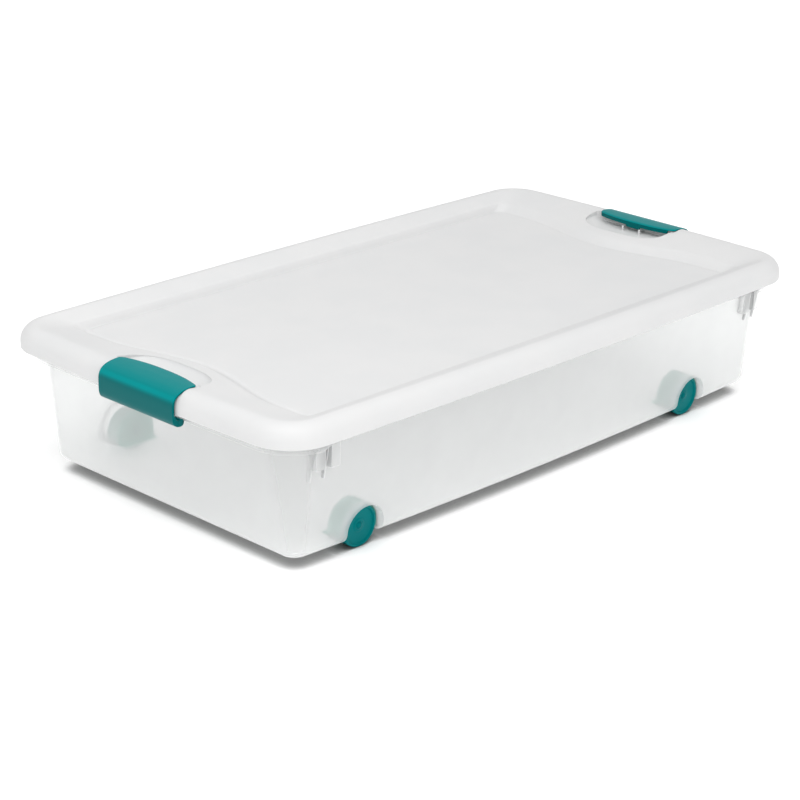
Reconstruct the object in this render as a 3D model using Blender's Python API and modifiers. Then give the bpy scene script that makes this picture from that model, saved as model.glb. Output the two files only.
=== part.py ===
"""Under-bed storage box: clear tub, lid with a sunk top, two over-centre end latches,
four wheels on snap-in pins.

Frame: +X along the box, +Y across it, +Z up; the "front" end is at -X. The origin is on the
floor, under the middle of the box. Heights are given from the underside of the tub, and the mesh
builders add LIFT, so that the wheels touch the floor at z = 0. All lengths are in metres.
"""

import bpy
import bmesh
from math import copysign, cos, pi, radians, sin, sqrt
from mathutils import Vector

# ---------------------------------------------------------------- driving dimensions
SIGNS = (-1, 1)             # the two ends (along X) or the two sides (along Y)

WHEEL_R = 0.0245
AXLE_Z = 0.0122             # wheel axis above the tub's underside
LIFT = WHEEL_R - AXLE_Z     # tub's underside above the floor

# tub: (half length, half width, corner radius) at the bottom and at WALL_REF_Z
TUB_BOTTOM = (0.3965, 0.2020, 0.0192)
TUB_UPPER = (0.4147, 0.2150, 0.0415)
WALL_REF_Z = 0.1416
TUB_BOW = 0.0099            # outward bow of the long sides
TUB_EDGE = 0.0115           # rounding between floor and walls
TUB_EDGE_MIN_R = 0.0040     # least corner radius round the floor
TUB_T = 0.0022              # wall thickness
RIM_TOP = 0.1626            # top of the wall, inside the lid
RIM_FLARE = 0.0008          # outward lean of the wall above WALL_REF_Z

# tub flange and its down-turned lip
FLANGE_Z0, FLANGE_Z1 = 0.1375, 0.1400
FLANGE_OUT = 0.0105         # flange edge beyond the wall
LIP_T = 0.0020
LIP_END_Z, LIP_LONG_Z = 0.1295, 0.1363   # lip's lower edge at the ends and along the long sides
LIP_STEP_BACK = 0.0040      # the deep lip starts this far before the corners

# ribs on the long walls near each corner: distance along X, width, lower end, is it a block
RIBS = (
    (0.3840, 0.0018, 0.0930, False),
    (0.3762, 0.0120, 0.1070, True),
    (0.3653, 0.0018, 0.0934, False),
    (0.3562, 0.0118, 0.1066, True),
)
RIB_TOP_OUT = 0.0072        # reach beyond the wall at the top
RIB_FOOT_OUT = 0.0030       # reach of a thin rib beyond the wall at its foot
BLOCK_FOOT_OUT = 0.0066     # reach of a block's foot beyond the wall's top position

# lowered wall behind each lid pocket
RELIEF_X = (0.4050, 0.4220)
RELIEF_Y = (-0.0700, 0.0700)
RELIEF_Z = (0.1462, 0.1720)

# lid
LID_A, LID_B, LID_R = 0.4350, 0.2378, 0.0508    # half length, half width, corner radius
LID_BOW_X, LID_BOW_Y = 0.0050, 0.0058
LID_T = 0.0020
LID_Z0 = 0.1416             # lower edge of the skirt
LID_TOP = 0.1670            # crest of the shoulder
SHOULDER = 0.0183           # shoulder radius
SLOPE_CROWN = 0.0004        # rise of the slope's middle, from the crest to the panel edge
PANEL_A, PANEL_B, PANEL_R = 0.3725, 0.1970, 0.0140    # upper edge of the sunk panel
PANEL_EDGE_Z = 0.1580
PANEL_Z = 0.1500
FOOT_DX, FOOT_DY = 0.0140, 0.0050               # panel's foot, in from its upper edge
BUMP, BUMP_HALF = 0.0250, 0.1450                # panel edge's inward step round each pocket

# finger pocket in the lid, at each end
POCKET_X0, POCKET_MID_X, POCKET_X1 = 0.3655, 0.4050, 0.4125
POCKET_HALF = 0.0635
POCKET_Y = {-1: -0.0010, 1: 0.0025}
POCKET_Z = 0.1540
POCKET_POWER = 2.8          # exponent of the superellipse
POCKET_SEGMENTS = 24
POCKET_NARROWING = 0.8      # narrowing along Y, relative to that along X
POCKET_BEVEL = ((0.0030, 0.0004), (0.0009, 0.0015), (0.0, 0.0040))    # x and y in from corner
# draw-in of the outline as a fraction, height above the pocket floor
SCOOP = ((0.55, 0.0), (0.35, 0.0005), (0.18, 0.0017), (0.06, 0.0036), (0.0, 0.0060))

# seat in the shoulder under each latch: x, z
SEAT = ((0.4160, 0.1654), (0.4216, 0.1651), (0.4293, 0.1637), (0.4330, 0.1621), (0.4370, 0.1597))
SEAT_SHELL_START = (0.4134, 0.1633)
SEAT_CUT_START = (0.4040, 0.1645)
SEAT_TOP = 0.1750
SEAT_SHELL_T = 0.0019
SEAT_SHELL_SIDE, SEAT_CUT_SIDE = 0.0026, 0.0008    # margins beyond the latch's sides

# small posts on the pocket floor, either side of the latch's tab
POST_X = (0.3962, 0.3998)
POST_HALF = 0.0014
POST_GAP = 0.0026           # tab side to post middle
POST_TOP = 0.1632

# latch (x for the +X end; mirrored for the other)
LATCH_Y = {-1: -0.0065, 1: -0.0030}
LATCH_HALF = 0.0620
PIVOT_X, PIVOT_Z = 0.4325, 0.1313
BAR_R, BORE_R, BARREL_R = 0.0020, 0.00235, 0.0043
BAR_HALF, BORE_HALF, OPENING_HALF = 0.0560, 0.0564, 0.0562
OPENING_X = (PIVOT_X - 0.0070, PIVOT_X - 0.0008)
OPENING_Z = (PIVOT_Z - 0.0010, PIVOT_Z + 0.0021)
LUG_OFFSETS = (-0.0450, 0.0, 0.0450)
LUG_T = 0.0030
LUG_OVERLAP = 0.0012        # lug's root inside the flange's lip
LUG_Z = (PIVOT_Z - 0.0012, PIVOT_Z + 0.0048)
NOTCH_R = 0.0056
NOTCH_GAP = 0.0008          # clearance on each side of a lug
TAB_HALF = 0.0110
LATCH_RIM_Z = (0.1616, 0.1668)
TAB_Z = (0.1590, 0.1640)
RIM_OUT, RIM_IN = 0.0008, 0.0020            # rim's faces on each side of the lip edge
RIM_LATCH_GAP, RIM_POCKET_GAP = 0.0010, 0.0060    # rim's ends inside the latch and the pocket
LIP_EDGE_X, LIP_EDGE_ARCH, LIP_EDGE_POWER = 0.4012, 0.0083, 2.5
ARCH_CUT_HALF, ARCH_CUT_X = 0.0660, 0.3900
ARCH_CUT_Z = (0.1500, 0.1800)
# section of a latch across its hinge (x, z): outer side upward to the lip, inner side back down
LATCH_OUTER = (
    (0.4368, 0.1272), (0.4402, 0.1288), (0.4424, 0.1318), (0.4435, 0.1370), (0.4438, 0.1430),
    (0.4437, 0.1500), (0.4430, 0.1551), (0.4414, 0.1592), (0.4385, 0.1626), (0.4345, 0.1649),
    (0.4302, 0.1664), (0.4240, 0.1676), (0.4149, 0.1682), (0.4080, 0.1681), (0.3995, 0.1675),
)
LATCH_INNER = (
    (0.3995, 0.1656), (0.4098, 0.1661), (0.4151, 0.1663), (0.4216, 0.1657), (0.4293, 0.1643),
    (0.4332, 0.1629), (0.4369, 0.1609), (0.4396, 0.1579), (0.4410, 0.1544), (0.4416, 0.1500),
    (0.4417, 0.1402), (0.4398, 0.1362), (0.4376, 0.1344),
)

# wheels, wells and pins
AXLES = (("front", -0.2950), ("rear", 0.2720))
SIDE_NAMES = (("right", -1), ("left", 1))
WHEEL_FACE_Y = 0.1990       # outer face of a wheel
WHEEL_BACK_Y = WHEEL_FACE_Y - 0.0185
GROOVE_Y = WHEEL_BACK_Y + 0.0117
TREAD_IN_R = WHEEL_R - 0.0014    # bottom of the groove, and the bevel at the back
ARCH_R = 0.0265
WELL_T = 0.0020
CHEEK_Y0, CHEEK_Y1 = 0.1772, 0.1797    # inner wall of a well
PIN_R, PIN_BORE = 0.0030, 0.0033
TONGUE_SLOT_R0, TONGUE_SLOT_R1 = 0.0092, 0.0104
TONGUE_SLOT_Z = 0.0050      # lower ends of the U slot
SLOT_MARGIN = 0.0040        # slot cutters beyond the cheek's faces
# turned profiles: radius, distance from the box's middle plane
WHEEL_PROFILE = (
    # hub, web and rim on the outer face
    (PIN_BORE, WHEEL_FACE_Y - 0.0014), (0.0072, WHEEL_FACE_Y - 0.0014),
    (0.0080, WHEEL_FACE_Y - 0.0022), (0.0205, WHEEL_FACE_Y - 0.0022),
    (0.0216, WHEEL_FACE_Y), (0.0230, WHEEL_FACE_Y),
    # tread with its groove
    (WHEEL_R, WHEEL_FACE_Y - 0.0014), (WHEEL_R, GROOVE_Y + 0.0016),
    (TREAD_IN_R, GROOVE_Y + 0.0010), (TREAD_IN_R, GROOVE_Y - 0.0010),
    (WHEEL_R, GROOVE_Y - 0.0016), (WHEEL_R, WHEEL_BACK_Y + 0.0016),
    # back and hub
    (TREAD_IN_R, WHEEL_BACK_Y + 0.0004), (0.0080, WHEEL_BACK_Y + 0.0004),
    (0.0072, WHEEL_BACK_Y - 0.0003), (PIN_BORE, WHEEL_BACK_Y - 0.0003),
)
PIN_PROFILE = (
    # snap end, inside the cheek
    (0.0, CHEEK_Y0 - 0.0034), (0.0024, CHEEK_Y0 - 0.0034), (0.0041, CHEEK_Y0 - 0.0012),
    (0.0041, CHEEK_Y0 - 0.0004), (PIN_R, CHEEK_Y0 - 0.0003),
    # shank and head
    (PIN_R, WHEEL_FACE_Y - 0.0010), (0.0045, WHEEL_FACE_Y - 0.0010),
    (0.0038, WHEEL_FACE_Y - 0.0002), (0.0022, WHEEL_FACE_Y + 0.0007),
    (0.0, WHEEL_FACE_Y + 0.0010),
)

# mesh detail
CORNER_SEGMENTS, END_SEGMENTS, LONG_SEGMENTS = 6, 16, 8
EDGE_ANGLES = (0, 30, 60, 90)    # degrees, for the tub's floor edge and the lid's shoulder
SMOOTH_ANGLE = radians(35)

# ---------------------------------------------------------------- scene and materials
for old in list(bpy.data.objects):
    bpy.data.objects.remove(old, do_unlink=True)

PARTS = bpy.data.collections.new("under_bed_box")
CUTTERS = bpy.data.collections.new("cutters")
for collection in (PARTS, CUTTERS):
    bpy.context.scene.collection.children.link(collection)


def plastic(name, colour, roughness, alpha=1.0):
    mat = bpy.data.materials.new(name)
    mat.use_nodes = True
    inputs = mat.node_tree.nodes["Principled BSDF"].inputs
    inputs["Base Color"].default_value = (*colour, 1.0)
    inputs["Roughness"].default_value = roughness
    inputs["Metallic"].default_value = 0.0
    inputs["Alpha"].default_value = alpha
    mat.diffuse_color = (*colour, alpha)
    return mat


TUB_PLASTIC = plastic("frosted_clear", colour=(0.80, 0.82, 0.82), roughness=0.42, alpha=0.6)
LID_PLASTIC = plastic("white_plastic", colour=(0.83, 0.83, 0.83), roughness=0.35)
LATCH_PLASTIC = plastic("teal_plastic", colour=(0.0, 0.26, 0.27), roughness=0.35)
WHEEL_PLASTIC = plastic("teal_wheel", colour=(0.0, 0.22, 0.22), roughness=0.45)
PIN_PLASTIC = plastic("teal_pin", colour=(0.0, 0.20, 0.21), roughness=0.40)


# ---------------------------------------------------------------- objects and modifiers
def link_mesh(name, mesh, collection):
    """Turns a bmesh into an object in a collection."""
    data = bpy.data.meshes.new(name)
    mesh.to_mesh(data)
    mesh.free()
    obj = bpy.data.objects.new(name, data)
    collection.objects.link(obj)
    return obj


def clean(mesh):
    bmesh.ops.remove_doubles(mesh, verts=mesh.verts, dist=1e-6)
    bmesh.ops.recalc_face_normals(mesh, faces=mesh.faces)


def make_part(name, mesh, mat):
    clean(mesh)
    obj = link_mesh(name, mesh, PARTS)
    obj.data.materials.append(mat)
    return obj


def make_cutter(name, mesh):
    """A hidden body used only by boolean modifiers, to add as well as to cut."""
    clean(mesh)
    obj = link_mesh(name, mesh, CUTTERS)
    obj.hide_render = True
    obj.display_type = "WIRE"
    return obj


def boolean(body, operation, tool):
    mod = body.modifiers.new(operation.lower() + "_" + tool.name, "BOOLEAN")
    mod.operation = operation
    mod.solver = "EXACT"
    mod.object = tool


def thicken(body, thickness):
    """Gives a skin its wall, inward from the outer face."""
    mod = body.modifiers.new("wall", "SOLIDIFY")
    mod.thickness = thickness
    mod.offset = -1.0
    mod.use_even_offset = True


# ---------------------------------------------------------------- spans and outlines
def mirrored(sign, near, far):
    """Ascending span between two distances, on the side given by sign."""
    return tuple(sorted((sign * near, sign * far)))


def about(centre, half):
    return (centre - half, centre + half)


def spaced(start, stop, steps):
    return [start + (stop - start) * i / steps for i in range(steps + 1)]


def arc(x, z, radius, angles):
    return [(x + radius * cos(angle), z + radius * sin(angle)) for angle in angles]


def rounded(a, b, r, bow_x=0.0, bow_y=0.0):
    """Rounded rectangle with bowed sides, counter-clockwise from the +X side.

    The count of points is always the same, so that outlines can be lofted together.
    """
    points = []

    def side(start, end, segments):
        for i in range(segments):
            t = i / segments
            points.append((start[0] + (end[0] - start[0]) * t, start[1] + (end[1] - start[1]) * t))

    def corner(x, y, first_angle):
        for i in range(CORNER_SEGMENTS):
            angle = radians(first_angle + 90.0 * i / CORNER_SEGMENTS)
            points.append((x + r * cos(angle), y + r * sin(angle)))

    side((a, -(b - r)), (a, b - r), END_SEGMENTS)
    corner(a - r, b - r, 0)
    side((a - r, b), (-(a - r), b), LONG_SEGMENTS)
    corner(-(a - r), b - r, 90)
    side((-a, b - r), (-a, -(b - r)), END_SEGMENTS)
    corner(-(a - r), -(b - r), 180)
    side((-(a - r), -b), (a - r, -b), LONG_SEGMENTS)
    corner(a - r, -(b - r), 270)
    return [(x * (1 + bow_x / a * (1 - (y / b) ** 2)), y * (1 + bow_y / b * (1 - (x / a) ** 2)))
            for x, y in points]


def wall_at(z):
    """Tub's half length, half width and corner radius at a height."""
    t = z / WALL_REF_Z
    return tuple(low + (high - low) * t for low, high in zip(TUB_BOTTOM, TUB_UPPER))


def wall_outline(z, grow):
    """Tub's outer face at a height, moved outward by grow."""
    a, b, r = wall_at(z)
    return rounded(a + grow, b + grow, r + grow, 0, TUB_BOW)


def wall_y(x, z):
    """Outer face of the long wall, as half width, at a station x and height z."""
    a, b, r = wall_at(z)
    y = b
    past_corner = abs(x) - (a - r)
    if past_corner > 0:
        y = b - r + sqrt(max(r * r - past_corner * past_corner, 0.0))
    return y * (1 + TUB_BOW / b * (1 - (x / a) ** 2))


# ---------------------------------------------------------------- mesh builders
def loft(rings, cap_first=False, cap_last=False):
    """Skin through rings of equal point count, each (list of xy, z)."""
    mesh = bmesh.new()
    rows = [[mesh.verts.new((x, y, z + LIFT)) for x, y in points] for points, z in rings]
    count = len(rows[0])
    for low, high in zip(rows, rows[1:]):
        for i in range(count):
            j = (i + 1) % count
            mesh.faces.new((low[i], low[j], high[j], high[i]))
    if cap_first:
        mesh.faces.new(list(reversed(rows[0])))
    if cap_last:
        mesh.faces.new(rows[-1])
    return mesh


def extruded(points, offset):
    mesh = bmesh.new()
    face = mesh.faces.new([mesh.verts.new(point) for point in points])
    geom = bmesh.ops.extrude_face_region(mesh, geom=[face])["geom"]
    moved = [item for item in geom if isinstance(item, bmesh.types.BMVert)]
    bmesh.ops.translate(mesh, verts=moved, vec=offset)
    return mesh


def prism_y(outline, y_span):
    """A closed outline in XZ pulled out along Y."""
    y0, y1 = y_span
    return extruded([(x, y0, z + LIFT) for x, z in outline], (0, y1 - y0, 0))


def prism_z(outline, z_span):
    """A closed outline in XY pulled up."""
    z0, z1 = z_span
    return extruded([(x, y, z0 + LIFT) for x, y in outline], (0, 0, z1 - z0))


def add_box(mesh, x_span, y_span, z_span):
    verts = bmesh.ops.create_cube(mesh, size=1.0)["verts"]
    for vert in verts:
        x, y, z = (span[0] if value < 0 else span[1]
                   for value, span in zip(vert.co, (x_span, y_span, z_span)))
        vert.co = Vector((x, y, z + LIFT))
    return verts


def add_rod(mesh, x, z, y_span, radius, segments=24):
    """A cylinder along Y."""
    y0, y1 = y_span
    verts = bmesh.ops.create_cone(mesh, cap_ends=True, segments=segments, radius1=radius,
                                  radius2=radius, depth=abs(y1 - y0))["verts"]
    for vert in verts:
        local = vert.co.copy()
        vert.co = Vector((x + local.x, (y0 + y1) / 2 + local.z, z + LIFT + local.y))


def append(mesh, piece):
    """Moves the bodies of one bmesh into another."""
    data = bpy.data.meshes.new("tmp")
    piece.to_mesh(data)
    piece.free()
    mesh.from_mesh(data)
    bpy.data.meshes.remove(data)


# ---------------------------------------------------------------- tub
def tub_rings(inset, floor_up, top):
    """Outer skin of the tub, moved in by inset at the walls and up by floor_up at the floor."""
    rings = []
    for degrees in EDGE_ANGLES:
        angle = radians(degrees)
        k = TUB_EDGE * (1 - sin(angle)) + inset
        z = TUB_EDGE * (1 - cos(angle)) + floor_up * (1 - degrees / 90)
        a, b, r = wall_at(z)
        rings.append((rounded(a - k, b - k, max(r - k, TUB_EDGE_MIN_R), 0, TUB_BOW), z))
    rings.append((wall_outline(WALL_REF_Z, -inset), WALL_REF_Z))
    if top > WALL_REF_Z:
        rings.append((wall_outline(WALL_REF_Z, RIM_FLARE - inset), top))
    return rings


def corner_ribs():
    """Thin ribs and blocks between the long walls and the flange, close to each corner."""
    mesh = bmesh.new()
    top = (FLANGE_Z0 + FLANGE_Z1) / 2
    for end in SIGNS:
        for side in SIGNS:
            for rib_x, width, bottom, is_block in RIBS:
                x_span = about(end * rib_x, width / 2)
                for vert in add_box(mesh, x_span, (-1, 1), (bottom, top)):
                    x = vert.co.x
                    at_foot = vert.co.z - LIFT < (bottom + top) / 2
                    z = bottom if at_foot else top
                    if vert.co.y < 0:
                        y = wall_y(x, z) - TUB_T / 2
                    elif not at_foot:
                        y = wall_y(x, top) + RIB_TOP_OUT
                    elif is_block:
                        y = wall_y(x, top) + BLOCK_FOOT_OUT
                    else:
                        y = wall_y(x, bottom) + RIB_FOOT_OUT
                    vert.co = Vector((x, side * y, z + LIFT))
    return mesh


def flange_ring():
    """Rim flange with a down-turned lip, deeper at the short ends and round the corners."""
    a, _, r = wall_at(FLANGE_Z0)
    inner = wall_outline(FLANGE_Z0, -TUB_T / 2)
    outer = wall_outline(FLANGE_Z0, FLANGE_OUT)
    lip_inner = wall_outline(FLANGE_Z0, FLANGE_OUT - LIP_T)
    mesh = bmesh.new()
    sections = []
    for near, far, lip in zip(inner, outer, lip_inner):
        lip_z = LIP_END_Z if abs(far[0]) > a - r - LIP_STEP_BACK else LIP_LONG_Z
        section = ((near, FLANGE_Z1), (far, FLANGE_Z1), (far, lip_z),
                   (lip, lip_z), (lip, FLANGE_Z0), (near, FLANGE_Z0))
        sections.append([mesh.verts.new((x, y, z + LIFT)) for (x, y), z in section])
    for this, following in zip(sections, sections[1:] + sections[:1]):
        for k in range(6):
            m = (k + 1) % 6
            mesh.faces.new((this[k], following[k], following[m], this[m]))
    return mesh


def latch_lugs():
    mesh = bmesh.new()
    root_x = wall_at(FLANGE_Z0)[0] + FLANGE_OUT - LUG_OVERLAP
    for end in SIGNS:
        for offset in LUG_OFFSETS:
            y_span = about(LATCH_Y[end] + offset, LUG_T / 2)
            add_box(mesh, mirrored(end, root_x, PIVOT_X), y_span, LUG_Z)
    return mesh


def latch_bars():
    mesh = bmesh.new()
    for end in SIGNS:
        y_span = about(LATCH_Y[end], BAR_HALF)
        add_rod(mesh, end * PIVOT_X, PIVOT_Z, y_span, BAR_R, segments=20)
    return mesh


def rim_relief():
    mesh = bmesh.new()
    for end in SIGNS:
        add_box(mesh, mirrored(end, *RELIEF_X), RELIEF_Y, RELIEF_Z)
    return mesh


def half_circle(x, radius, segments):
    """Upper half circle round an axle, from +X to -X."""
    return arc(x, AXLE_Z, radius, spaced(0, pi, segments))


def wheel_arches(radius, bottom, y_in, y_out):
    """Arch-shaped solid at each wheel."""
    mesh = bmesh.new()
    for _, x in AXLES:
        for side in SIGNS:
            outline = half_circle(x, radius, 16) + [(x - radius, bottom), (x + radius, bottom)]
            append(mesh, prism_y(outline, mirrored(side, y_in, y_out)))
    return mesh


def pin_slots():
    """Pin hole, and an inverted U slot that makes a springy tongue round it, in each cheek."""
    mesh = bmesh.new()
    r0, r1 = TONGUE_SLOT_R0, TONGUE_SLOT_R1
    for _, x in AXLES:
        for side in SIGNS:
            y_span = mirrored(side, CHEEK_Y0 - SLOT_MARGIN, CHEEK_Y1 + SLOT_MARGIN)
            add_rod(mesh, x, AXLE_Z, y_span, PIN_BORE)
            slot = half_circle(x, r1, 12)
            slot += [(x - r1, TONGUE_SLOT_Z), (x - r0, TONGUE_SLOT_Z)]
            slot += reversed(half_circle(x, r0, 12))
            slot += [(x + r0, TONGUE_SLOT_Z), (x + r1, TONGUE_SLOT_Z)]
            append(mesh, prism_y(slot, y_span))
    return mesh


def build_tub():
    tub = make_part("tub", loft(tub_rings(0, 0, RIM_TOP), cap_first=True), TUB_PLASTIC)
    thicken(tub, TUB_T)
    # closed volume out to the middle of the wall, which trims the wheel housings
    volume = make_cutter("tub_volume", loft(tub_rings(TUB_T / 2, TUB_T / 2, 0),
                                            cap_first=True, cap_last=True))
    boolean(tub, "UNION", make_cutter("corner_ribs", corner_ribs()))
    boolean(tub, "UNION", make_cutter("flange_ring", flange_ring()))
    boolean(tub, "UNION", make_cutter("latch_lugs", latch_lugs()))
    boolean(tub, "UNION", make_cutter("latch_bars", latch_bars()))
    boolean(tub, "DIFFERENCE", make_cutter("rim_relief", rim_relief()))

    # a housing inside the tub, then the hollow for the wheel, open to the side and below
    housings = make_cutter("well_housings", wheel_arches(
        ARCH_R + WELL_T, bottom=TUB_T * 0.45, y_in=CHEEK_Y0, y_out=0.2300))
    boolean(housings, "INTERSECT", volume)
    boolean(housings, "DIFFERENCE", make_cutter("pin_slots", pin_slots()))
    boolean(tub, "UNION", housings)
    boolean(tub, "DIFFERENCE", make_cutter("well_hollows", wheel_arches(
        ARCH_R, bottom=-0.0200, y_in=CHEEK_Y1, y_out=0.2400)))


# ---------------------------------------------------------------- lid
def panel_edge(dx, dy):
    """Edge of the sunk panel, moved in by dx and dy; its short sides step in at the pockets."""
    points = []
    for x, y in rounded(PANEL_A - dx, PANEL_B - dy, PANEL_R):
        if abs(y) < BUMP_HALF:
            x -= copysign(BUMP * cos(pi * y / (2 * BUMP_HALF)) ** 2, x)
        points.append((x, y))
    return points


def lid_rings(drop):
    """Top skin of the lid, moved in and down by drop."""
    def outline(k):
        return rounded(LID_A - k, LID_B - k, LID_R - k, LID_BOW_X, LID_BOW_Y)

    rings = [(outline(drop), LID_Z0)]
    for degrees in EDGE_ANGLES:
        angle = radians(degrees)
        k = SHOULDER * (1 - cos(angle)) + drop * cos(angle)
        z = LID_TOP - SHOULDER * (1 - sin(angle)) - drop * sin(angle)
        rings.append((outline(k), z))
    crest = rings[-1][0]
    edge = panel_edge(0, 0)
    middle = [(p[0] + (q[0] - p[0]) * 0.5, p[1] + (q[1] - p[1]) * 0.5)
              for p, q in zip(crest, edge)]
    rings.append((middle, LID_TOP + (PANEL_EDGE_Z - LID_TOP) * 0.5 + SLOPE_CROWN - drop))
    rings.append((edge, PANEL_EDGE_Z - drop))
    rings.append((panel_edge(FOOT_DX, FOOT_DY), PANEL_Z - drop))
    return rings


def pocket_outline(end, grow, draw_in=0.0):
    """Half superellipse with a straight side towards the latch, drawn in towards that side."""
    half_x, half_y = POCKET_MID_X - POCKET_X0 + grow, POCKET_HALF + grow
    power = 2 / POCKET_POWER
    points = []
    for angle in spaced(-pi / 2, pi / 2, POCKET_SEGMENTS):
        c, s = cos(angle), sin(angle)
        points.append((POCKET_MID_X - half_x * abs(c) ** power,
                       half_y * copysign(abs(s) ** power, s)))
    x1 = POCKET_X1 + grow
    bevel = [(x1 - dx, half_y - dy) for dx, dy in POCKET_BEVEL]
    points += bevel + [(x, -y) for x, y in reversed(bevel)]
    return [(end * (x1 - (x1 - x) * (1 - draw_in)),
             POCKET_Y[end] + y * (1 - POCKET_NARROWING * draw_in)) for x, y in points]


def scoops(grow, drop, top):
    """Solid of both finger pockets, grown outward and dropped."""
    mesh = bmesh.new()
    for end in SIGNS:
        rings = [(pocket_outline(end, grow, draw_in), POCKET_Z + height - drop)
                 for draw_in, height in SCOOP]
        rings.append((pocket_outline(end, grow), top))
        append(mesh, loft(rings, cap_first=True, cap_last=True))
    return mesh


def seat_solids(start, drop, side_margin):
    """Solid above each latch seat's surface, which is lowered by drop."""
    outline = [(start[0], SEAT_TOP), start] + [(x, z - drop) for x, z in SEAT]
    outline.append((SEAT[-1][0], SEAT_TOP))
    mesh = bmesh.new()
    for end in SIGNS:
        append(mesh, prism_y([(end * x, z) for x, z in outline],
                             about(LATCH_Y[end], LATCH_HALF + side_margin)))
    return mesh


def snap_posts():
    mesh = bmesh.new()
    for end in SIGNS:
        for side in SIGNS:
            y = LATCH_Y[end] + side * (TAB_HALF + POST_GAP)
            add_box(mesh, mirrored(end, *POST_X), about(y, POST_HALF),
                    (POCKET_Z - LID_T / 2, POST_TOP))
    return mesh


def build_lid():
    lid = make_part("lid", loft(lid_rings(0), cap_last=True), LID_PLASTIC)
    thicken(lid, LID_T)
    # closed volume up to the middle of the lid's wall, which trims the shells
    volume = make_cutter("lid_volume", loft(lid_rings(LID_T / 2), cap_first=True, cap_last=True))

    pocket_shells = make_cutter("pocket_shells", scoops(grow=LID_T, drop=LID_T, top=0.1800))
    boolean(pocket_shells, "INTERSECT", volume)
    boolean(lid, "UNION", pocket_shells)
    boolean(lid, "DIFFERENCE", make_cutter("pocket_hollows", scoops(grow=0.0, drop=0.0, top=0.1900)))

    # shallow seats, so that the latches lie almost flush
    seat_shells = make_cutter(
        "seat_shells", seat_solids(SEAT_SHELL_START, SEAT_SHELL_T, SEAT_SHELL_SIDE))
    boolean(seat_shells, "INTERSECT", volume)
    boolean(lid, "UNION", seat_shells)
    boolean(lid, "DIFFERENCE", make_cutter(
        "seat_hollows", seat_solids(SEAT_CUT_START, 0.0, SEAT_CUT_SIDE)))
    boolean(lid, "UNION", make_cutter("snap_posts", snap_posts()))


# ---------------------------------------------------------------- latches
def barrel(*degrees):
    return arc(PIVOT_X, PIVOT_Z, BARREL_R, [radians(value) for value in degrees])


def lip_edge(end, y):
    """Point on the lip's arched edge, as a distance along X from the box's middle."""
    offset = abs(y - LATCH_Y[end]) / LATCH_HALF
    return LIP_EDGE_X + LIP_EDGE_ARCH * offset ** LIP_EDGE_POWER


def rim_strip(end, y_span, z_span):
    """Turned-down strip along the lip's edge."""
    stations = spaced(*y_span, 16)
    outline = [(end * (lip_edge(end, y) - RIM_OUT), y) for y in stations]
    outline += [(end * (lip_edge(end, y) + RIM_IN), y) for y in reversed(stations)]
    return prism_z(outline, z_span)


def arch_cut(end):
    """Everything beyond the lip's arched edge, towards the box's middle."""
    stations = spaced(*about(LATCH_Y[end], ARCH_CUT_HALF), 24)
    outline = [(end * lip_edge(end, y), y) for y in stations]
    outline += [(end * ARCH_CUT_X, stations[-1]), (end * ARCH_CUT_X, stations[0])]
    return prism_z(outline, ARCH_CUT_Z)


def build_latch(name, end):
    middle = LATCH_Y[end]
    y0, y1 = about(middle, LATCH_HALF)
    # curl round the bar, skin up the lid's shoulder, flat lip over the pocket
    section = barrel(180, 210, 240, 270) + [*LATCH_OUTER, *LATCH_INNER]
    section += barrel(50, 80, 110, 145)
    latch = make_part(name, prism_y([(end * x, z) for x, z in section], (y0, y1)), LATCH_PLASTIC)

    def modify(operation, suffix, mesh):
        boolean(latch, operation, make_cutter(name + suffix, mesh))

    # rim inside the pocket, with a deeper tab in its middle
    pocket_y0, pocket_y1 = about(POCKET_Y[end], POCKET_HALF)
    rim_span = (max(y0 + RIM_LATCH_GAP, pocket_y0 + RIM_POCKET_GAP),
                min(y1 - RIM_LATCH_GAP, pocket_y1 - RIM_POCKET_GAP))
    modify("UNION", "_rim", rim_strip(end, rim_span, LATCH_RIM_Z))
    modify("UNION", "_tab", rim_strip(end, about(middle, TAB_HALF), TAB_Z))
    modify("DIFFERENCE", "_arch", arch_cut(end))

    # bore for the bar, snap-on opening, and notches for the lugs
    bore = bmesh.new()
    add_rod(bore, end * PIVOT_X, PIVOT_Z, about(middle, BORE_HALF), BORE_R)
    modify("DIFFERENCE", "_bore", bore)
    opening = bmesh.new()
    add_box(opening, mirrored(end, *OPENING_X), about(middle, OPENING_HALF), OPENING_Z)
    modify("DIFFERENCE", "_opening", opening)
    notches = bmesh.new()
    for offset in LUG_OFFSETS:
        y_span = about(middle + offset, LUG_T / 2 + NOTCH_GAP)
        add_rod(notches, end * PIVOT_X, PIVOT_Z, y_span, NOTCH_R)
    modify("DIFFERENCE", "_notches", notches)

    # origin on the hinge; the shape stays where it is
    pivot = Vector((end * PIVOT_X, middle, PIVOT_Z + LIFT))
    for vert in latch.data.vertices:
        vert.co -= pivot
    latch.location = pivot


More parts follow.
